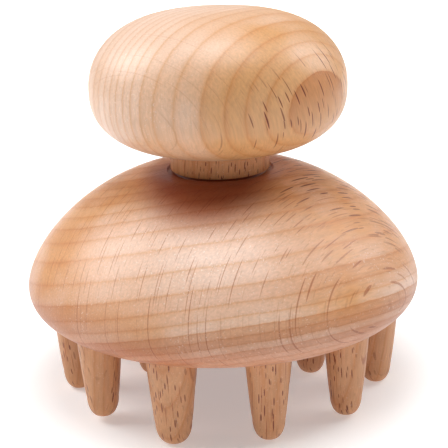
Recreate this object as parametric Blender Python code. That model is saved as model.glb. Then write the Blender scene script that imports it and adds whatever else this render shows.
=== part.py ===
"""Peg curry in turned beech: a palm knob on a short neck, a domed round base and a crown of blunt pegs.

Everything is turned about the upright axis. The pegs' tips stand on z = 0 and +Z is up.
Lengths are in metres.
"""
import math

import bmesh
import bpy

MM = 0.001

# Gap between a piece and the socket or shoulder it sits against.
FIT_GAP = 0.3 * MM

# Base: the domed disc that carries the pegs.
BASE_DIAMETER = 90.0 * MM
RIM_DROP = 7.45 * MM
RIM_ROUND_WIDTH = 11.6 * MM
RIM_CURVE = 2.2
DOME_RISE = 25.2 * MM
DOME_UPRIGHT_CURVE = 1.59
DOME_LEVEL_CURVE = 1.48
LAND_DIAMETER = 30.4 * MM

# Neck: a short cylinder with a thinner tenon at each end.
NECK_DIAMETER = 22.5 * MM
NECK_LENGTH = 4.3 * MM
TENON_DIAMETER = 12.0 * MM
TENON_LENGTH = 14.0 * MM
TENON_CHAMFER = 0.8 * MM

# Knob: the flattened ball that fills the palm.
KNOB_DIAMETER = 57.4 * MM
KNOB_CROWN = 16.5 * MM
KNOB_CROWN_UPRIGHT_CURVE = 2.0
KNOB_CROWN_LEVEL_CURVE = 2.87
KNOB_BELLY = 14.8 * MM
KNOB_BELLY_UPRIGHT_CURVE = 2.55
KNOB_BELLY_LEVEL_CURVE = 2.8
KNOB_SEAT_MARGIN = 0.75 * MM

# Pegs: tapered dowels with a parallel shank in the base and a rounded tip.
OUTER_PEG_COUNT = 11
OUTER_RING_INSET = 9.5 * MM
OUTER_RING_TURN = math.radians(-1.2)
INNER_PEG_COUNT = 6
INNER_RING_SHARE = 0.575
INNER_RING_TURN = math.radians(-1.0)
PEG_STAND_OUT = 18.3 * MM
PEG_ROOT_DIAMETER = 9.8 * MM
PEG_TAPER_END_DIAMETER = 7.1 * MM
PEG_TAPER_CURVE = 0.8
PEG_TIP_HEIGHT = 4.4 * MM
PEG_TIP_FLAT_DIAMETER = 2.6 * MM
PEG_SHANK_LENGTH = 12.0 * MM
PEG_SHANK_CHAMFER = 0.6 * MM

# Hand-fitted differences: how much deeper some pegs are driven in, how much stouter one is,
# and how far some holes were drilled off their even places (right, back).
DEEPER_PEGS = {"peg_outer_01": 0.5 * MM, "peg_outer_02": 0.5 * MM, "peg_outer_10": 1.2 * MM}
STOUTER_PEGS = {"peg_outer_11": 0.8 * MM}
DRILLED_OFF = {
    "peg_outer_01": (-0.4 * MM, 0.0),
    "peg_outer_03": (0.2 * MM, -0.4 * MM),
    "peg_outer_09": (0.7 * MM, -1.0 * MM),
    "peg_outer_11": (-0.6 * MM, -0.1 * MM),
    "peg_inner_01": (0.8 * MM, 0.4 * MM),
    "peg_inner_05": (2.9 * MM, 1.4 * MM),
}

# Segments round each turned piece.
BASE_SEGMENTS = 64
KNOB_SEGMENTS = 56
NECK_SEGMENTS = 40
PEG_SEGMENTS = 16

# Heights and radii that follow from the sizes above.
UNDERSIDE_Z = PEG_STAND_OUT
WIDEST_Z = UNDERSIDE_Z + RIM_DROP
LAND_Z = WIDEST_Z + DOME_RISE
NECK_TOP_Z = LAND_Z + 2 * FIT_GAP + NECK_LENGTH
KNOB_SEAT_RADIUS = NECK_DIAMETER / 2 + KNOB_SEAT_MARGIN
OUTER_RING_RADIUS = BASE_DIAMETER / 2 - OUTER_RING_INSET
INNER_RING_RADIUS = OUTER_RING_RADIUS * INNER_RING_SHARE
SOCKET_DIAMETER = TENON_DIAMETER + 2 * FIT_GAP
SOCKET_DEPTH = TENON_LENGTH + FIT_GAP
PEG_HOLE_DEPTH = PEG_SHANK_LENGTH + FIT_GAP
SHARP_ANGLE = math.radians(32)


def clear_scene():
    for item in list(bpy.data.objects):
        bpy.data.objects.remove(item, do_unlink=True)


def srgb(hex_text):
    """Turn an sRGB hex colour into the linear values a shader takes."""
    values = []
    for start in (0, 2, 4):
        part = int(hex_text[start:start + 2], 16) / 255
        values.append(part / 12.92 if part <= 0.04045 else ((part + 0.055) / 1.055) ** 2.4)
    return (*values, 1.0)


def beech(name, hex_text, roughness):
    """Waxed beech, as one plain colour."""
    material = bpy.data.materials.new(name)
    material.use_nodes = True
    shader = material.node_tree.nodes["Principled BSDF"]
    shader.inputs["Base Color"].default_value = srgb(hex_text)
    shader.inputs["Roughness"].default_value = roughness
    shader.inputs["Metallic"].default_value = 0.0
    material.diffuse_color = srgb(hex_text)
    return material


def quarter_curve(width, height, upright_curve, level_curve, steps):
    """Points of a quarter superellipse, from its widest point to its top."""
    points = []
    for step in range(steps + 1):
        angle = math.pi / 2 * step / steps
        across = width * max(math.cos(angle), 0.0) ** (2 / level_curve)
        up = height * math.sin(angle) ** (2 / upright_curve)
        points.append((across, up))
    points[-1] = (0.0, height)
    return points


def turned_mesh(name, profile, segments):
    """Revolve a profile of (radius, height) points that starts and ends on the axis."""
    mesh = bpy.data.meshes.new(name)
    body = bmesh.new()
    rings = []
    for radius, height in profile:
        if radius < 1e-7:
            rings.append([body.verts.new((0.0, 0.0, height))])
            continue
        ring = []
        for step in range(segments):
            angle = math.tau * step / segments
            ring.append(body.verts.new((radius * math.cos(angle), radius * math.sin(angle), height)))
        rings.append(ring)
    for low, high in zip(rings, rings[1:]):
        for step in range(segments):
            after = (step + 1) % segments
            corners = [low[step % len(low)], low[after % len(low)], high[after % len(high)], high[step % len(high)]]
            corners = list(dict.fromkeys(corners))
            body.faces.new(corners)
    bmesh.ops.recalc_face_normals(body, faces=body.faces)
    body.to_mesh(mesh)
    body.free()
    mesh.shade_smooth()
    mesh.set_sharp_from_angle(angle=SHARP_ANGLE)
    return mesh


def place(name, mesh, location=(0.0, 0.0, 0.0), parent=None):
    item = bpy.data.objects.new(name, mesh)
    item.location = location
    item.parent = parent
    bpy.context.scene.collection.objects.link(item)
    return item


def ring_places(count, radius, turn):
    """Centres of evenly spaced pegs, the first pair straddling the front (-Y)."""
    places = []
    for index in range(count):
        angle = turn + math.tau * (index + 0.5) / count
        places.append((radius * math.sin(angle), -radius * math.cos(angle)))
    return places


def base_profile():
    half = BASE_DIAMETER / 2
    flat = half - RIM_ROUND_WIDTH
    points = [(0.0, UNDERSIDE_Z)]
    rim = quarter_curve(RIM_ROUND_WIDTH, RIM_DROP, RIM_CURVE, RIM_CURVE, 7)
    for across, down in reversed(rim):
        points.append((flat + across, WIDEST_Z - down))
    land = LAND_DIAMETER / 2
    dome = quarter_curve(half - land, DOME_RISE, DOME_UPRIGHT_CURVE, DOME_LEVEL_CURVE, 13)
    for across, up in dome[1:]:
        points.append((land + across, WIDEST_Z + up))
    points.append((SOCKET_DIAMETER / 2, LAND_Z))
    points.append((SOCKET_DIAMETER / 2, LAND_Z - SOCKET_DEPTH))
    points.append((0.0, LAND_Z - SOCKET_DEPTH))
    return points


def neck_profile():
    bottom = LAND_Z + FIT_GAP
    top = bottom + NECK_LENGTH
    tenon = TENON_DIAMETER / 2
    half = NECK_DIAMETER / 2
    return [
        (0.0, bottom - TENON_LENGTH),
        (tenon - TENON_CHAMFER, bottom - TENON_LENGTH),
        (tenon, bottom - TENON_LENGTH + TENON_CHAMFER),
        (tenon, bottom),
        (half, bottom),
        (half, top),
        (tenon, top),
        (tenon, top + TENON_LENGTH - TENON_CHAMFER),
        (tenon - TENON_CHAMFER, top + TENON_LENGTH),
        (0.0, top + TENON_LENGTH),
    ]


def knob_profile():
    """Socket, flat seat, belly, widest line and crown, from the axis outward and up."""
    half = KNOB_DIAMETER / 2
    seat = KNOB_SEAT_RADIUS
    seat_angle = math.acos((seat / half) ** (KNOB_BELLY_LEVEL_CURVE / 2))
    widest = NECK_TOP_Z + KNOB_BELLY * math.sin(seat_angle) ** (2 / KNOB_BELLY_UPRIGHT_CURVE)
    points = [
        (0.0, NECK_TOP_Z + SOCKET_DEPTH),
        (SOCKET_DIAMETER / 2, NECK_TOP_Z + SOCKET_DEPTH),
        (SOCKET_DIAMETER / 2, NECK_TOP_Z),
        (seat, NECK_TOP_Z),
    ]
    belly = quarter_curve(half, KNOB_BELLY, KNOB_BELLY_UPRIGHT_CURVE, KNOB_BELLY_LEVEL_CURVE, 11)
    for across, down in reversed(belly):
        if across > seat + 1 * MM:
            points.append((across, widest - down))
    crown = quarter_curve(half, KNOB_CROWN, KNOB_CROWN_UPRIGHT_CURVE, KNOB_CROWN_LEVEL_CURVE, 11)
    for across, up in crown[1:]:
        points.append((across, widest + up))
    return points


def peg_profile(stouter):
    """Tip at zero height, then the rounded nose, the bowed taper and the parallel shank."""
    flat = PEG_TIP_FLAT_DIAMETER / 2
    nose = (PEG_TAPER_END_DIAMETER + stouter) / 2
    root = (PEG_ROOT_DIAMETER + stouter) / 2
    taper_height = PEG_STAND_OUT - PEG_TIP_HEIGHT
    points = [(0.0, 0.0), (flat, 0.0)]
    for step in range(1, 5):
        angle = math.pi / 2 * step / 4
        points.append((flat + (nose - flat) * math.sin(angle), PEG_TIP_HEIGHT * (1 - math.cos(angle))))
    for step in range(1, 4):
        part = step / 3
        points.append((nose + (root - nose) * part ** PEG_TAPER_CURVE, PEG_TIP_HEIGHT + taper_height * part))
    shank_end = PEG_STAND_OUT + PEG_SHANK_LENGTH
    points.append((root, shank_end - PEG_SHANK_CHAMFER))
    points.append((root - PEG_SHANK_CHAMFER, shank_end))
    points.append((0.0, shank_end))
    return points


def hole_profile(stouter, deeper):
    """Drilling tool for one peg hole: it starts below the rim and stops at the hole's depth."""
    radius = (PEG_ROOT_DIAMETER + stouter) / 2 + FIT_GAP
    return [
        (0.0, UNDERSIDE_Z - 4 * MM),
        (radius, UNDERSIDE_Z - 4 * MM),
        (radius, UNDERSIDE_Z + PEG_HOLE_DEPTH + deeper),
        (0.0, UNDERSIDE_Z + PEG_HOLE_DEPTH + deeper),
    ]


def drill(body, name, spot, profile):
    """Bore a peg hole into the base with a plain round cutter."""
    cutter = place("hole_" + name, turned_mesh("hole_" + name, profile, PEG_SEGMENTS), (*spot, 0.0), body)
    cutter.hide_render = True
    cutter.display_type = "WIRE"
    cut = body.modifiers.new("hole_" + name, "BOOLEAN")
    cut.operation = "DIFFERENCE"
    cut.solver = "EXACT"
    cut.object = cutter


def fit_peg(base, name, even_spot, material):
    deeper = DEEPER_PEGS.get(name, 0.0)
    stouter = STOUTER_PEGS.get(name, 0.0)
    off = DRILLED_OFF.get(name, (0.0, 0.0))
    spot = (even_spot[0] + off[0], even_spot[1] + off[1])
    drill(base, name, spot, hole_profile(stouter, deeper))
    mesh = turned_mesh(name, peg_profile(stouter), PEG_SEGMENTS)
    mesh.materials.append(material)
    place(name, mesh, (*spot, deeper), base)


def turned_piece(name, profile, segments, material, parent=None):
    mesh = turned_mesh(name, profile, segments)
    mesh.materials.append(material)
    return place(name, mesh, parent=parent)


def build():
    clear_scene()
    base = turned_piece("base", base_profile(), BASE_SEGMENTS, beech("beech_base", "D9A57C", 0.42))
    turned_piece("neck", neck_profile(), NECK_SEGMENTS, beech("beech_neck", "C08A5E", 0.50), base)
    turned_piece("knob", knob_profile(), KNOB_SEGMENTS, beech("beech_knob", "E6BB90", 0.40), base)
    peg_material = beech("beech_pegs", "C9966A", 0.50)
    for index, spot in enumerate(ring_places(OUTER_PEG_COUNT, OUTER_RING_RADIUS, OUTER_RING_TURN), start=1):
        fit_peg(base, f"peg_outer_{index:02d}", spot, peg_material)
    for index, spot in enumerate(ring_places(INNER_PEG_COUNT, INNER_RING_RADIUS, INNER_RING_TURN), start=1):
        fit_peg(base, f"peg_inner_{index:02d}", spot, peg_material)


build()
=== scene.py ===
"""Looks of a turned beech peg curry: a palm knob, a short neck, a domed base and two rings of blunt pegs.

Every piece is turned about its own upright axis, as on a lathe, from a half outline. Lengths are in metres.
"""

import math

import bpy
from mathutils import Matrix, Vector


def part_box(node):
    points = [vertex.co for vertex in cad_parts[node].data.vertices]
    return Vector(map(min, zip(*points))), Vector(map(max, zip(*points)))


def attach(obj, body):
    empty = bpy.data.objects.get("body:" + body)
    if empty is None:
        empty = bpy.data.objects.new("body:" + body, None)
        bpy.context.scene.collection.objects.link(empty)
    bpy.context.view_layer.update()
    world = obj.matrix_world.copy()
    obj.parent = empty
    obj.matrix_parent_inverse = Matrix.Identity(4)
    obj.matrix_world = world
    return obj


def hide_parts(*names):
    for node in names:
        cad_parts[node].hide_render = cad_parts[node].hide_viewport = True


MM = 0.001

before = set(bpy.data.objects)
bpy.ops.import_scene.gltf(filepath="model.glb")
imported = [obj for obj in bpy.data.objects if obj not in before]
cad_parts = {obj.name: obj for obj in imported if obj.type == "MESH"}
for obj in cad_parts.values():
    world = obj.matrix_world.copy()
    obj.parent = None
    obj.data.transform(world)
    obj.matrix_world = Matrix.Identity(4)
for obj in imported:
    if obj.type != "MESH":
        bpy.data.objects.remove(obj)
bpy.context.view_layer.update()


# ---------------------------------------------------------------- lathe work

def deselect_everything():
    bpy.ops.object.select_all(action="DESELECT")


def pick(piece):
    deselect_everything()
    piece.select_set(True)
    bpy.context.view_layer.objects.active = piece


def quarter_curve(width, height, upright_curve, level_curve, steps):
    """A quarter of a rounded square, from its widest point to its top."""
    points = []
    for step in range(steps + 1):
        angle = math.pi / 2 * step / steps
        across = width * max(math.cos(angle), 0.0) ** (2 / level_curve)
        up = height * math.sin(angle) ** (2 / upright_curve)
        points.append((across, up))
    points[-1] = (0.0, height)
    return points


def turn_on_lathe(name, outline, steps):
    """Draw the half outline one extruded corner at a time, then spin it once round the upright axis."""
    deselect_everything()
    bpy.ops.mesh.primitive_plane_add(size=MM)
    piece = bpy.context.active_object
    piece.name = name
    piece.data.name = name
    bpy.ops.object.mode_set(mode="EDIT")
    bpy.ops.mesh.select_mode(type="VERT")
    bpy.ops.mesh.select_all(action="SELECT")
    bpy.ops.mesh.merge(type="CENTER")
    here = Vector((outline[0][0], 0.0, outline[0][1]))
    bpy.ops.transform.translate(value=here)
    for radius, height in outline[1:]:
        there = Vector((radius, 0.0, height))
        bpy.ops.mesh.extrude_vertices_move(TRANSFORM_OT_translate={"value": there - here})
        here = there
    bpy.ops.mesh.select_all(action="SELECT")
    bpy.ops.mesh.spin(steps=steps, angle=math.tau, center=(0.0, 0.0, 0.0), axis=(0.0, 0.0, 1.0))
    bpy.ops.mesh.select_all(action="SELECT")
    bpy.ops.mesh.remove_doubles(threshold=0.002 * MM)
    bpy.ops.mesh.normals_make_consistent(inside=False)
    bpy.ops.object.mode_set(mode="OBJECT")
    return piece


def smooth(piece, sharp_over=35):
    pick(piece)
    bpy.ops.object.shade_smooth_by_angle(angle=math.radians(sharp_over))


def copy_piece(master, name, spot):
    """A copy with its own mesh, its place then taken into the mesh."""
    copy = master.copy()
    copy.data = master.data.copy()
    copy.name = name
    copy.data.name = name
    bpy.context.scene.collection.objects.link(copy)
    copy.location = spot
    pick(copy)
    bpy.ops.object.transform_apply(location=True, rotation=False, scale=False)
    return copy


def box_of(node):
    low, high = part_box(node)
    return Vector(low), Vector(high)


base_low, base_high = box_of("base")
neck_low, neck_high = box_of("neck")
knob_low, knob_high = box_of("knob")
peg_names = [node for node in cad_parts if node.startswith("peg_")]

TENON_RADIUS = 6.0 * MM
TENON_LENGTH = 14.0 * MM
SOCKET_GAP = 0.1 * MM
PEG_SHANK_LENGTH = 12.0 * MM


# ---------------------------------------------------------------- base: domed disc, socket, peg holes

RIM_DROP = 7.45 * MM
RIM_ROUND_WIDTH = 11.6 * MM
RIM_CURVE = 2.2
DOME_UPRIGHT_CURVE = 1.59
DOME_LEVEL_CURVE = 1.48
LAND_RADIUS = 15.2 * MM
# The narrow groove that the parting tool leaves in the land, round the neck's foot.
GROOVE_HALF_MOUTH = 0.9 * MM
GROOVE_HALF_FLOOR = 0.6 * MM
GROOVE_DEPTH = 0.45 * MM
DRILL_OVERRUN = 4.0 * MM
neck_radius = neck_high.x
base_radius = base_high.x
widest_z = base_low.z + RIM_DROP
dome_top = base_high.z
socket_radius = TENON_RADIUS + SOCKET_GAP

outline = [(0.0, base_low.z), (10 * MM, base_low.z), (22 * MM, base_low.z)]
rim = quarter_curve(RIM_ROUND_WIDTH, RIM_DROP, RIM_CURVE, RIM_CURVE, 22)
outline += [(base_radius - RIM_ROUND_WIDTH + across, widest_z - down) for across, down in reversed(rim)]
dome_width = base_radius - LAND_RADIUS
dome = quarter_curve(dome_width, dome_top - widest_z, DOME_UPRIGHT_CURVE, DOME_LEVEL_CURVE, 44)
outline += [(LAND_RADIUS + across, widest_z + up) for across, up in dome[1:]]
# The flat land under the neck with its groove, then the socket.
outline += [
    (neck_radius + GROOVE_HALF_MOUTH, dome_top),
    (neck_radius + GROOVE_HALF_FLOOR, dome_top - GROOVE_DEPTH),
    (neck_radius - GROOVE_HALF_FLOOR, dome_top - GROOVE_DEPTH),
    (neck_radius - GROOVE_HALF_MOUTH, dome_top),
    (socket_radius, dome_top),
    (socket_radius, dome_top - TENON_LENGTH),
    (0.0, dome_top - TENON_LENGTH),
]
base = turn_on_lathe("base_turned", outline, 160)

# A drill for each hole, all joined and taken out of the base in one cut.
drills = []
for name in peg_names:
    low, high = box_of(name)
    radius = (high.x - low.x) / 2 + SOCKET_GAP
    deselect_everything()
    depth = high.z + SOCKET_GAP - (base_low.z - DRILL_OVERRUN)
    bpy.ops.mesh.primitive_cylinder_add(
        vertices=48, radius=radius, depth=depth,
        location=((low.x + high.x) / 2, (low.y + high.y) / 2, high.z + SOCKET_GAP - depth / 2))
    drills.append(bpy.context.active_object)
deselect_everything()
for drill in drills:
    drill.select_set(True)
bpy.context.view_layer.objects.active = drills[0]
bpy.ops.object.join()
drill = drills[0]
pick(base)
cut = base.modifiers.new("peg_holes", "BOOLEAN")
cut.operation = "DIFFERENCE"
cut.solver = "EXACT"
cut.object = drill
bpy.ops.object.modifier_apply(modifier=cut.name)
bpy.data.objects.remove(drill, do_unlink=True)
smooth(base, 32)


# ---------------------------------------------------------------- knob: flattened ball with a socket

KNOB_BELLY = 14.8 * MM
BELLY_UPRIGHT_CURVE = 2.55
BELLY_LEVEL_CURVE = 2.8
CROWN_UPRIGHT_CURVE = 2.0
CROWN_LEVEL_CURVE = 2.87
KNOB_SEAT_MARGIN = 0.75 * MM
seat_radius = neck_radius + KNOB_SEAT_MARGIN
knob_radius = knob_high.x
# Where the belly's curve meets the flat seat over the neck, and from that the height of the widest point.
seat_angle = math.acos((seat_radius / knob_radius) ** (BELLY_LEVEL_CURVE / 2))
knob_widest = knob_low.z + KNOB_BELLY * math.sin(seat_angle) ** (2 / BELLY_UPRIGHT_CURVE)
socket_top = knob_low.z + TENON_LENGTH
outline = [
    (0.0, socket_top),
    (socket_radius, socket_top),
    (socket_radius, knob_low.z),
    (seat_radius - 0.3 * MM, knob_low.z),
    (seat_radius, knob_low.z + 0.04 * MM),
]
belly = quarter_curve(knob_radius, KNOB_BELLY, BELLY_UPRIGHT_CURVE, BELLY_LEVEL_CURVE, 44)
belly = [(across, down) for across, down in belly if across > seat_radius + 0.4 * MM]
outline += [(across, knob_widest - down) for across, down in reversed(belly)]
crown = quarter_curve(knob_radius, knob_high.z - knob_widest, CROWN_UPRIGHT_CURVE, CROWN_LEVEL_CURVE, 44)
outline += [(across, knob_widest + up) for across, up in crown[1:]]
knob = turn_on_lathe("knob_turned", outline, 150)
smooth(knob)


# ---------------------------------------------------------------- neck: a short collar between two tenons

TENON_END_GAP = 0.6 * MM
EDGE_ROUND = 0.3 * MM
deselect_everything()
collar_low = dome_top + SOCKET_GAP
collar_high = knob_low.z - SOCKET_GAP
bpy.ops.mesh.primitive_cylinder_add(
    vertices=96, radius=neck_radius, depth=collar_high - collar_low,
    location=(0.0, 0.0, (collar_low + collar_high) / 2))
neck = bpy.context.active_object
neck.name = "neck_turned"
neck.data.name = "neck_turned"
bpy.ops.object.transform_apply(location=True)
for side in (1, -1):
    bpy.ops.object.mode_set(mode="OBJECT")
    for face in neck.data.polygons:
        face.select = face.normal.z * side > 0.9
    bpy.ops.object.mode_set(mode="EDIT")
    bpy.ops.mesh.select_mode(type="FACE")
    bpy.ops.mesh.inset(thickness=neck_radius - TENON_RADIUS, depth=0.0)
    stretch = (0.0, 0.0, side * (TENON_LENGTH - TENON_END_GAP))
    bpy.ops.mesh.extrude_region_move(TRANSFORM_OT_translate={"value": stretch})
bpy.ops.object.mode_set(mode="OBJECT")
pick(neck)
round_over = neck.modifiers.new("eased_edges", "BEVEL")
round_over.width = EDGE_ROUND
round_over.segments = 3
round_over.limit_method = "ANGLE"
round_over.angle_limit = math.radians(40)
bpy.ops.object.modifier_apply(modifier=round_over.name)
smooth(neck)


# ---------------------------------------------------------------- pegs: one turned peg for each thickness

PEG_TIP_FLAT_RADIUS = 1.3 * MM
PEG_TIP_HEIGHT = 4.4 * MM
PEG_TAPER = 1.35 * MM
PEG_TAPER_CURVE = 0.8
PEG_SHANK_CHAMFER = 0.6 * MM
NOSE_STEPS = 14
TAPER_STEPS = 12


def peg_outline(root, stand_out, whole):
    """Tip, rounded nose, slightly bowed taper, parallel shank with a chamfered end."""
    flat = PEG_TIP_FLAT_RADIUS
    nose = root - PEG_TAPER
    points = [(0.0, 0.0), (flat * 0.6, 0.0)]
    for step in range(NOSE_STEPS + 1):
        angle = math.pi / 2 * step / NOSE_STEPS
        points.append((flat + (nose - flat) * math.sin(angle), PEG_TIP_HEIGHT * (1 - math.cos(angle))))
    taper_height = stand_out - PEG_TIP_HEIGHT
    for step in range(1, TAPER_STEPS + 1):
        part = step / TAPER_STEPS
        points.append((nose + (root - nose) * part ** PEG_TAPER_CURVE, PEG_TIP_HEIGHT + taper_height * part))
    points += [(root, whole - PEG_SHANK_CHAMFER), (root - PEG_SHANK_CHAMFER, whole), (0.0, whole)]
    return points


masters = {}
pegs = {}
for name in peg_names:
    low, high = box_of(name)
    root = round((high.x - low.x) / 2, 5)
    whole = high.z - low.z
    if root not in masters:
        masters[root] = turn_on_lathe("master_peg", peg_outline(root, whole - PEG_SHANK_LENGTH, whole), 40)
        smooth(masters[root])
    spot = ((low.x + high.x) / 2, (low.y + high.y) / 2, low.z)
    pegs[name] = copy_piece(masters[root], name + "_turned", spot)
for master in masters.values():
    bpy.data.objects.remove(master, do_unlink=True)


# ---------------------------------------------------------------- how the wood runs in each piece

def wood_frame(across, fibre, radial):
    """Turn from the object's directions to the wood's: across the rays, along the fibre, out from the heart.
    The last is kept as given, and the fibre is squared to it."""
    radial = Vector(radial).normalized()
    fibre = Vector(fibre)
    fibre = (fibre - radial * fibre.dot(radial)).normalized()
    across_exact = fibre.cross(radial)
    if across_exact.dot(Vector(across)) < 0:
        fibre = -fibre
        across_exact = -across_exact
    return Matrix((across_exact, fibre, radial))


# Each peg is cut upright from its own stick, so the fibre runs down it and the rings show another face.
# For each peg in front: turn about the peg and lean of the fibre, in degrees, and its place in the stick,
# in millimetres. The others take theirs from their number.
PEG_STICKS = {
    "peg_outer_09": (62, 3, 11), "peg_outer_10": (96, 5, 37), "peg_outer_11": (20, 13, 64),
    "peg_outer_01": (-6, -4, 88), "peg_outer_02": (38, 4, 120), "peg_outer_03": (70, 6, 149),
}
# Turns the peg's height into the wood's fibre direction.
UPRIGHT_STICK = Matrix(((1, 0, 0), (0, 0, 1), (0, -1, 0)))


def note_facing(piece, wood):
    """How squarely each point faces the heart, from 0 to 1: rays are cut end on where it is near 1."""
    facing = piece.data.attributes.new("facing", "FLOAT", "POINT")
    for point in piece.data.vertices:
        facing.data[point.index].value = abs((wood @ point.normal).z)


for index, name in enumerate(peg_names):
    turn, lean, place_in_stick = PEG_STICKS.get(name, (37 * index, 4 * (index % 3 - 1), 29 * index))
    low, high = box_of(name)
    middle = Vector(((low.x + high.x) / 2, (low.y + high.y) / 2, 0.0))
    leaning = Matrix.Rotation(math.radians(lean), 3, "X")
    wood = UPRIGHT_STICK @ leaning @ Matrix.Rotation(math.radians(turn), 3, "Z")
    start = Vector((1.0, 3.1, 1.7)) * place_in_stick
    grain = pegs[name].data.attributes.new("grain", "FLOAT_VECTOR", "POINT")
    for point in pegs[name].data.vertices:
        grain.data[point.index].vector = wood @ (point.co - middle) / MM + start
    note_facing(pegs[name], wood)

base_wood = wood_frame((0.725, -0.582, 0.367), (0.651, 0.740, -0.112), (-0.121, 0.252, 0.96))
knob_wood = wood_frame((0.653, 0.675, 0.343), (0.145, 0.333, -0.931), (-0.743, 0.658, 0.07))
neck_wood = wood_frame((0.9, 0.4, 0.0), (0.05, 0.02, 1.0), (0.4, -0.9, 0.0))
for piece, wood in ((base, base_wood), (knob, knob_wood), (neck, neck_wood)):
    note_facing(piece, wood)


# ---------------------------------------------------------------- materials

def srgb(hex_text):
    """Turn an sRGB hex colour into the linear values a shader takes."""
    values = []
    for start in (0, 2, 4):
        part = int(hex_text[start:start + 2], 16) / 255
        values.append(part / 12.92 if part <= 0.04045 else ((part + 0.055) / 1.055) ** 2.4)
    return (*values, 1.0)


# A colour Mix takes its two colours in sockets 6 and 7 and gives its colour from output 2.
# Map Range takes the range it reads in 1 and 2, and the range it gives in 3 and 4.
MIX_COLOUR_OUT = 2


def add_node(tree, kind, feeds=None, **settings):
    """One shader node with its settings. A socket is fed a value, another node's output, or another node,
    which stands for its first output, or for its colour where it is a Mix."""
    made = tree.nodes.new("ShaderNode" + kind)
    for setting, value in settings.items():
        setattr(made, setting, value)
    for socket, value in (feeds or {}).items():
        if isinstance(value, bpy.types.Node):
            value = value.outputs[MIX_COLOUR_OUT if value.bl_idname == "ShaderNodeMix" else 0]
        if isinstance(value, bpy.types.NodeSocket):
            tree.links.new(value, made.inputs[socket])
        else:
            made.inputs[socket].default_value = value
    return made


# The tint of late wood against early wood, and how much of it each part of a year has.
LATE_WOOD = (0.89, 0.74, 0.58, 1.0)
YEAR_STEPS = ((0.05, 0.5), (0.14, 0.1), (0.4, 0.0), (0.7, 0.14), (0.9, 0.5))


def year_rings(add, coords, bent, years):
    """Year rings 1 to 5 mm apart: a count that rises steadily outwards, with one slow wave for good and lean
    years. Gives the count of years and each point's late-wood tint."""
    per_mm, swell, pace, start, first = years
    ragged = add("TexNoise", {"Vector": coords, "Scale": 0.6, "Detail": 2.0})
    outwards = add("SeparateXYZ", {0: bent}).outputs["Z"]
    depth = add("Math", {0: ragged, 1: 0.35, 2: outwards}, operation="MULTIPLY_ADD")
    swing = add("Math", {0: depth, 1: pace, 2: start}, operation="MULTIPLY_ADD")
    wave = add("Math", {0: swing}, operation="SINE")
    steady = add("Math", {0: depth, 1: per_mm, 2: first}, operation="MULTIPLY_ADD")
    count = add("Math", {0: wave, 1: swell, 2: steady}, operation="MULTIPLY_ADD")
    part_of_year = add("Math", {0: count}, operation="FRACT")
    tint = add("ValToRGB", {0: part_of_year})
    ramp = tint.color_ramp
    ramp.elements[0].position, ramp.elements[0].color = 0.0, LATE_WOOD
    ramp.elements[1].position, ramp.elements[1].color = 1.0, LATE_WOOD
    for place, share in YEAR_STEPS:
        step = ramp.elements.new(place)
        step.color = tuple(1 - share * (1 - value) for value in LATE_WOOD)
    return count, tint


def paint_pink_and_sheen(add, here, middle, width):
    """A soft-edged patch of painted highlight, partly pinker wood, round a middle, both in millimetres: 0.68
    inside, fading to nothing at its width.
    """
    from_middle = add("VectorMath", {0: here, 1: tuple(value * MM for value in middle)}, operation="SUBTRACT")
    per_width = tuple(1 / (value * MM) for value in width)
    spread = add("VectorMath", {0: from_middle, 1: per_width}, operation="MULTIPLY")
    far = add("VectorMath", {0: spread}, operation="LENGTH").outputs["Value"]
    return add("MapRange", {0: far, 1: 1.1, 2: 0.2, 3: 0.0, 4: 0.68})


def inside_first_ring(add, here, count, low, high):
    """Where the wood lies inside the first ring counted, coming in between two heights in millimetres."""
    height = add("SeparateXYZ", {0: here}).outputs["Z"]
    upper = add("MapRange", {0: height, 1: low * MM, 2: high * MM})
    inner = add("Math", {0: count, 1: 0.0}, operation="LESS_THAN")
    return add("Math", {0: inner, 1: upper}, operation="MULTIPLY")


# Rays, in millimetres: the cell each one has to itself, then the least and most of half its thickness and of
# half its height.
LONG_RAY_SIZES = ((1.5, 7.5, 26.0), (0.08, 0.12), (1.6, 4.2))
FINE_RAY_SIZES = ((0.9, 3.0, 14.0), (0.06, 0.10), (0.3, 1.4))


def draw_rays(add, bent, colour, cell, thick, tall, strength, stain):
    """One size of ray: a flat ribbon in each cell, standing out from the heart, with half its thickness and
    half its height in millimetres taken from a range. Gives the stained colour and where the rays are."""
    cell_place = add("VectorMath", {0: bent, 1: tuple(1 / size for size in cell)}, operation="MULTIPLY")
    cells = add("TexVoronoi", {"Vector": cell_place, "Scale": 1.0})
    off = add("VectorMath", {0: cell_place, 1: cells.outputs["Position"]}, operation="SUBTRACT")
    chance = add("SeparateXYZ", {0: cells.outputs["Color"]})
    width = add("MapRange", {0: chance.outputs["X"], 3: thick[0] / cell[0], 4: thick[1] / cell[0]})
    height = add("MapRange", {0: chance.outputs["Y"], 3: tall[0] / cell[1], 4: tall[1] / cell[1]})
    reach = add("CombineXYZ", {0: width, 1: height, 2: 0.5})
    stretched = add("VectorMath", {0: off, 1: reach}, operation="DIVIDE")
    out = add("VectorMath", {0: stretched}, operation="LENGTH").outputs["Value"]
    inside = add("MapRange", {0: out, 1: 1.05, 2: 0.8})
    deep = add("MapRange", {0: chance.outputs["Z"], 3: 0.7, 4: 1.0})
    drawn = add("Math", {0: inside, 1: deep}, operation="MULTIPLY")
    share = add("Math", {0: drawn, 1: strength}, operation="MULTIPLY")
    stained = add("Mix", {"Factor": 1.0, 6: colour, 7: stain}, data_type="RGBA", blend_type="MULTIPLY")
    return add("Mix", {"Factor": share, 6: colour, 7: stained}, data_type="RGBA"), share


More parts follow.
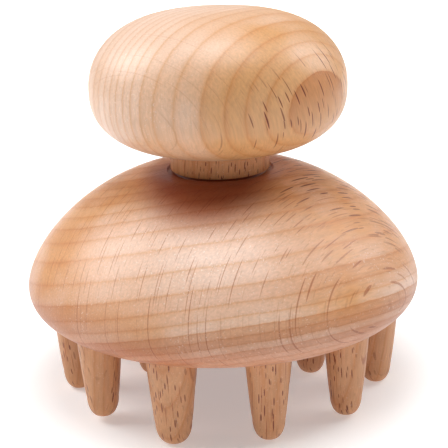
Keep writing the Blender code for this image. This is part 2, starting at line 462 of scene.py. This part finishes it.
def paint_shade_round_neck_and_rim(add, here, colour, pink_and_sheen):
    """Paints shade into the base's colour: the knob's shade in the corner round the neck, and shade under the
    rim.
    """
    soft = {"interpolation_type": "SMOOTHSTEP"}
    # Painted shade of the knob in the corner round the neck, most of it in front, fading over 13 mm.
    flat_place = add("VectorMath", {
        0: here, 1: (1300.0, 1000.0, 0.0), 2: (4.0, 10.0, 0.0)}, operation="MULTIPLY_ADD")
    from_neck = add("VectorMath", {0: flat_place}, operation="LENGTH").outputs["Value"]
    painted_shade = add("MapRange", {0: from_neck, 1: 24.0, 2: 11.0, 3: 0.0, 4: 1.0}, **soft)
    dark = (0.40, 0.15, 0.07, 1.0)
    in_shade = add("Mix", {"Factor": 1.0, 6: colour, 7: dark}, data_type="RGBA", blend_type="MULTIPLY")
    colour = add("Mix", {"Factor": painted_shade, 6: colour, 7: in_shade}, data_type="RGBA")
    # Painted shade under the rim: darker and browner towards the bottom, less so under the painted highlight.
    up = add("SeparateXYZ", {0: here}).outputs["Z"]
    under = add("MapRange", {0: up, 1: 33 * MM, 2: 21 * MM, 3: 0.0, 4: 1.0}, **soft)
    paler = add("Math", {0: pink_and_sheen, 1: -0.4, 2: 1.0}, operation="MULTIPLY_ADD")
    browner = add("Math", {0: under, 1: paler}, operation="MULTIPLY")
    brown = (0.64, 0.42, 0.31, 1.0)
    shaded_under = add("Mix", {"Factor": 1.0, 6: colour, 7: brown}, data_type="RGBA", blend_type="MULTIPLY")
    return add("Mix", {"Factor": browner, 6: colour, 7: shaded_under}, data_type="RGBA")


def beech(name, wood, years, colours, dashes, sap=(0.0, 12.0), bands=0.4, pink_and_sheen_at=None, heart=None,
          long_rays=0.66, dark_side=None, painted_glints=0.35, shade_neck_and_rim=False, gloss=0.42, coat=0.2):
    """Beech, turned, sanded fine and waxed: pale pinkish tan with a satin sheen, brown ring lines and short
    dark ray dashes. Wood coordinates are in millimetres: x across the rays, y along the fibre, z out from
    the heart."""
    light, pink, tan = (srgb(hex_text) for hex_text in colours)
    material = bpy.data.materials.new(name)
    material.use_nodes = True
    tree = material.node_tree
    tree.nodes.clear()

    def add(kind, feeds=None, **settings):
        return add_node(tree, kind, feeds, **settings)

    here = add("TexCoord").outputs["Object"]
    if wood is None:
        coords = add("Attribute", attribute_name="grain").outputs["Vector"]
    else:
        coords = add("Mapping", {
            "Vector": here, "Rotation": wood.to_euler("XYZ"), "Scale": (1000, 1000, 1000)})

    # The tree's slow wander bends rings and rays together: under 1 mm over 30 mm.
    wander = add("TexNoise", {"Vector": coords, "Scale": 0.04, "Detail": 1.0})
    centred = add("VectorMath", {0: wander.outputs["Color"], 1: (0.5, 0.5, 0.5)}, operation="SUBTRACT")
    bent = add("VectorMath", {0: centred, 1: (1.0, 0.0, 1.0), 2: coords}, operation="MULTIPLY_ADD")
    count, ring_tint = year_rings(add, coords, bent, years)

    # Broad colour: tanner one way along the years, pinker the other, in patches, each year its own tone.
    patches = add("TexNoise", {"Vector": coords, "Scale": 0.07, "Detail": 3.0})
    outward = add("MapRange", {0: count, 1: sap[0], 2: sap[1], 3: -0.35, 4: 0.65})
    patch_share = add("MapRange", {0: patches, 1: 0.3, 2: 0.7, 3: 0.0, 4: 0.7})
    pinkness = add("Math", {0: outward, 1: patch_share}, operation="ADD", use_clamp=True)
    year = add("Math", {0: count}, operation="FLOOR")
    tone = add("TexWhiteNoise", {"W": year}, noise_dimensions="1D")
    tone_share = add("MapRange", {0: tone, 1: 0.0, 2: 1.0, 3: 0.0, 4: bands})
    warm = add("Mix", {"Factor": pinkness, 6: light, 7: pink}, data_type="RGBA")
    colour = add("Mix", {"Factor": tone_share, 6: warm, 7: tan}, data_type="RGBA")
    pink_and_sheen = None
    # A pale pink patch: painted highlight where the lamps' sheen falls, partly the wood's own pinker tone.
    if pink_and_sheen_at is not None:
        pink_and_sheen = paint_pink_and_sheen(add, here, *pink_and_sheen_at)
        pinkness = add("Math", {0: pinkness, 1: pink_and_sheen}, operation="MAXIMUM")
        colour = add("Mix", {"Factor": pink_and_sheen, 6: colour, 7: pink}, data_type="RGBA")
    if heart is not None:
        brown, low, high = heart
        is_heart = inside_first_ring(add, here, count, low, high)
        colour = add("Mix", {"Factor": is_heart, 6: colour, 7: srgb(brown)}, data_type="RGBA")
    colour = add("Mix", {"Factor": 1.0, 6: colour, 7: ring_tint}, data_type="RGBA", blend_type="MULTIPLY")

    # Fibre: fine streaks about 0.4 mm wide and 8 mm long.
    streak_place = add("VectorMath", {0: bent, 1: (2.4, 0.13, 2.4)}, operation="MULTIPLY")
    streaks = add("TexNoise", {"Vector": streak_place, "Scale": 1.0, "Detail": 3.0})
    streak_tone = add("MapRange", {0: streaks, 1: 0.3, 2: 0.7, 3: 0.90, 4: 1.07})
    colour = add("VectorMath", {0: colour, "Scale": streak_tone}, operation="SCALE")

    # Rays: cut end on they are dashes along the fibre, cut along they are broad flecks. The real ones are
    # 0.05 to 0.2 mm thick; they are drawn up to 0.4 mm to show. The stout dark ones show where the wood
    # faces the heart.
    facing = add("Attribute", attribute_name="facing")
    strong = add("MapRange", {0: facing.outputs["Fac"], 1: 0.25, 2: 0.75, 3: 0.0, 4: 1.0})
    if dark_side is not None:
        # They show on one side of the piece only, coming in between two distances along a direction.
        side, low, high = dark_side
        along = add("VectorMath", {0: here, 1: tuple(value / MM for value in side)}, operation="DOT_PRODUCT")
        there = add("MapRange", {0: along.outputs["Value"], 1: low, 2: high})
        strong = add("Math", {0: strong, 1: there}, operation="MULTIPLY")
    ray_marks = []
    for ray in (
            (*LONG_RAY_SIZES, long_rays, (0.52, 0.23, 0.10, 1.0)),
            (*FINE_RAY_SIZES, long_rays * 0.5, (0.62, 0.46, 0.34, 1.0)),
            (*dashes, strong, (0.28, 0.06, 0.0, 1.0))):
        colour, mark = draw_rays(add, bent, colour, *ray)
        ray_marks.append(mark)

    # Painted glints: pale highlight specks painted into the colour where the wax catches the light on the
    # ends of cut rays, about 0.3 mm across.
    grit = add("TexNoise", {"Vector": coords, "Scale": 2.6, "Detail": 1.0})
    painted_glint = add("MapRange", {0: grit, 1: 0.65, 2: 0.72, 3: 0.0, 4: painted_glints})
    painted_glint_share = add("Math", {0: painted_glint, 1: pinkness}, operation="MULTIPLY")
    colour = add("Mix", {"Factor": painted_glint_share, 6: colour, 7: srgb("FAEFE6")}, data_type="RGBA")
    # Painted shade in the corner round the neck and under the rim.
    if shade_neck_and_rim:
        colour = paint_shade_round_neck_and_rim(add, here, colour, pink_and_sheen)

    # Surface: satin wax, a little uneven, over pores and rays a few hundredths of a millimetre deep.
    speck = add("TexNoise", {"Vector": coords, "Scale": 1.7, "Detail": 3.0})
    rough = add("MapRange", {0: speck, 1: 0.3, 2: 0.7, 3: gloss - 0.07, 4: gloss + 0.08})
    relief = add("Math", {0: streaks, 1: 0.5, 2: speck}, operation="MULTIPLY_ADD")
    for mark in ray_marks:
        relief = add("Math", {0: mark, 1: -0.08, 2: relief}, operation="MULTIPLY_ADD")
    bump = add("Bump", {"Height": relief, "Strength": 0.4, "Distance": 0.00006})
    shader = add("BsdfPrincipled", {
        "Base Color": colour, "Roughness": rough, "IOR": 1.5, "Normal": bump,
        "Coat Weight": coat, "Coat Roughness": 0.28, "Coat IOR": 1.45})
    add("OutputMaterial", {0: shader})
    return material


# years: rings to the millimetre, then the slow wave's height, pace and start, and the count at the heart.
# colours: light, pink and tan.
# The base has a painted highlight patch on its front, painted glints, and painted shade round the neck and
# under the rim.
beech_base = beech(
    "beech_turned_and_waxed_base", base_wood,
    years=(0.677, 5.0, 0.0931, 0.3138, -12.402), colours=("DEA673", "F5DED1", "CC8648"),
    dashes=((1.6, 5.4, 22.0), (0.13, 0.21), (1.4, 3.6)), sap=(12.0, -9.0), bands=0.7,
    pink_and_sheen_at=((-5, -30, 39), (28, 26, 16)), dark_side=((0.55, 0.35, 0.75), 34, 41), painted_glints=0.8, shade_neck_and_rim=True)
# The knob has a painted highlight patch at its upper left.
beech_knob = beech(
    "beech_turned_and_waxed_knob", knob_wood,
    years=(0.3379, 0.6951, -0.1942, -1.4275, 7.23), colours=("DBA674", "ECCDB9", "D69D63"),
    dashes=((1.6, 5.6, 22.0), (0.11, 0.18), (1.2, 3.0)), sap=(3.0, 9.0),
    pink_and_sheen_at=((-11, -12, 80), (20, 20, 15)), heart=("C98A56", 62, 71),
    long_rays=0.18, dark_side=((0.70, -0.35, -0.60), -32, -26))
# Neck and pegs are browner: the neck is left matt from the tool, and the pegs are barely waxed.
PLAIN_YEARS = (0.4, 0.3, 0.2, 0.0, 0.0)
beech_neck = beech(
    "beech_turned_neck", neck_wood, years=PLAIN_YEARS, colours=("D6955F", "D59566", "C4824C"),
    dashes=((1.0, 2.7, 14.0), (0.08, 0.13), (0.5, 1.2)), gloss=0.6, coat=0.0)
beech_pegs = beech(
    "beech_turned_pegs", None, years=PLAIN_YEARS, colours=("C88F60", "CC9468", "B97E4C"),
    dashes=((1.2, 3.2, 14.0), (0.11, 0.18), (0.6, 1.5)), painted_glints=0.1, coat=0.1)

dressed = [
    (base, "base", "beech_base", beech_base),
    (knob, "knob", "beech_knob", beech_knob),
    (neck, "neck", "beech_neck", beech_neck),
]
dressed += [(pegs[name], name, "beech_pegs", beech_pegs) for name in peg_names]
for piece, node, slot, material in dressed:
    piece.data.materials.clear()
    piece.data.materials.append(material)
    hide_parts(node)
    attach(piece, "root")


# ---------------------------------------------------------------- floor, light and camera

deselect_everything()
bpy.ops.mesh.primitive_plane_add(size=6.0, location=(0.0, 0.0, -0.0001))
floor = bpy.context.active_object
floor.name = "floor"
# Opal acrylic, moulded matt and lit from below: white, with only a soft shadow.
opal = bpy.data.materials.new("opal_acrylic_light_table")
opal.use_nodes = True
table = opal.node_tree.nodes["Principled BSDF"]
table.inputs["Base Color"].default_value = srgb("F2F2F2")
table.inputs["Roughness"].default_value = 0.9
table.inputs["Specular IOR Level"].default_value = 0.1
table.inputs["Emission Color"].default_value = (1.0, 1.0, 1.0, 1.0)
table.inputs["Emission Strength"].default_value = 0.33
floor.data.materials.append(opal)

# White walls all round to 12 degrees up, fading by 24 degrees to a dim ceiling.
world = bpy.data.worlds.new("white_studio")
world.use_nodes = True
bpy.context.scene.world = world
room = world.node_tree
direction = add_node(room, "TexCoord")
height = add_node(room, "SeparateXYZ", {0: direction.outputs["Generated"]})
walls = add_node(room, "MapRange", {0: height.outputs["Z"], 1: 0.20, 2: 0.40, 3: 0.6, 4: 0.03})
room.nodes["Background"].inputs["Color"].default_value = (1.0, 1.0, 1.0, 1.0)
room.links.new(walls.outputs[0], room.nodes["Background"].inputs["Strength"])


def softbox(name, place, aim, size, power, spread=180):
    """A square lamp: its size in metres, its power in watts, its spread in degrees."""
    lamp = bpy.data.lights.new(name, "AREA")
    lamp.shape = "SQUARE"
    lamp.size = size
    lamp.energy = power
    lamp.spread = math.radians(spread)
    light = bpy.data.objects.new(name, lamp)
    bpy.context.scene.collection.objects.link(light)
    light.location = place
    light.rotation_euler = (Vector(aim) - Vector(place)).to_track_quat("-Z", "Y").to_euler()


middle = (0.0, 0.0, 0.05)
softbox("overhead_softbox", (0.02, -0.05, 0.50), middle, 0.30, 1.62)
softbox("left_softbox", (-0.42, 0.08, 0.42), middle, 0.34, 2.0)
softbox("right_softbox", (0.42, 0.14, 0.40), middle, 0.34, 1.3)
softbox("table_light", (0.0, 0.85, 0.60), (0.0, 0.85, 0.0), 0.9, 6.0, 60)

look_at = Vector((0.0, 0.0, 0.03215))
stand = Vector((0.0, -0.25700, 0.11924))
camera_data = bpy.data.cameras.new("camera")
camera_data.sensor_width = 36.0
camera_data.lens = 93.82
camera_data.shift_x = 0.0039
camera_data.shift_y = 0.0479
camera = bpy.data.objects.new("camera", camera_data)
bpy.context.scene.collection.objects.link(camera)
facing = (look_at - stand).to_track_quat("-Z", "Y").to_matrix().to_4x4()
tilt = Matrix.Rotation(math.radians(-1.556), 4, "Z")
camera.matrix_world = Matrix.Translation(stand) @ facing @ tilt
bpy.context.scene.camera = camera

# Plain colours, so that the white floor is white and the wood keeps its warmth.
bpy.context.scene.view_settings.view_transform = "Standard"
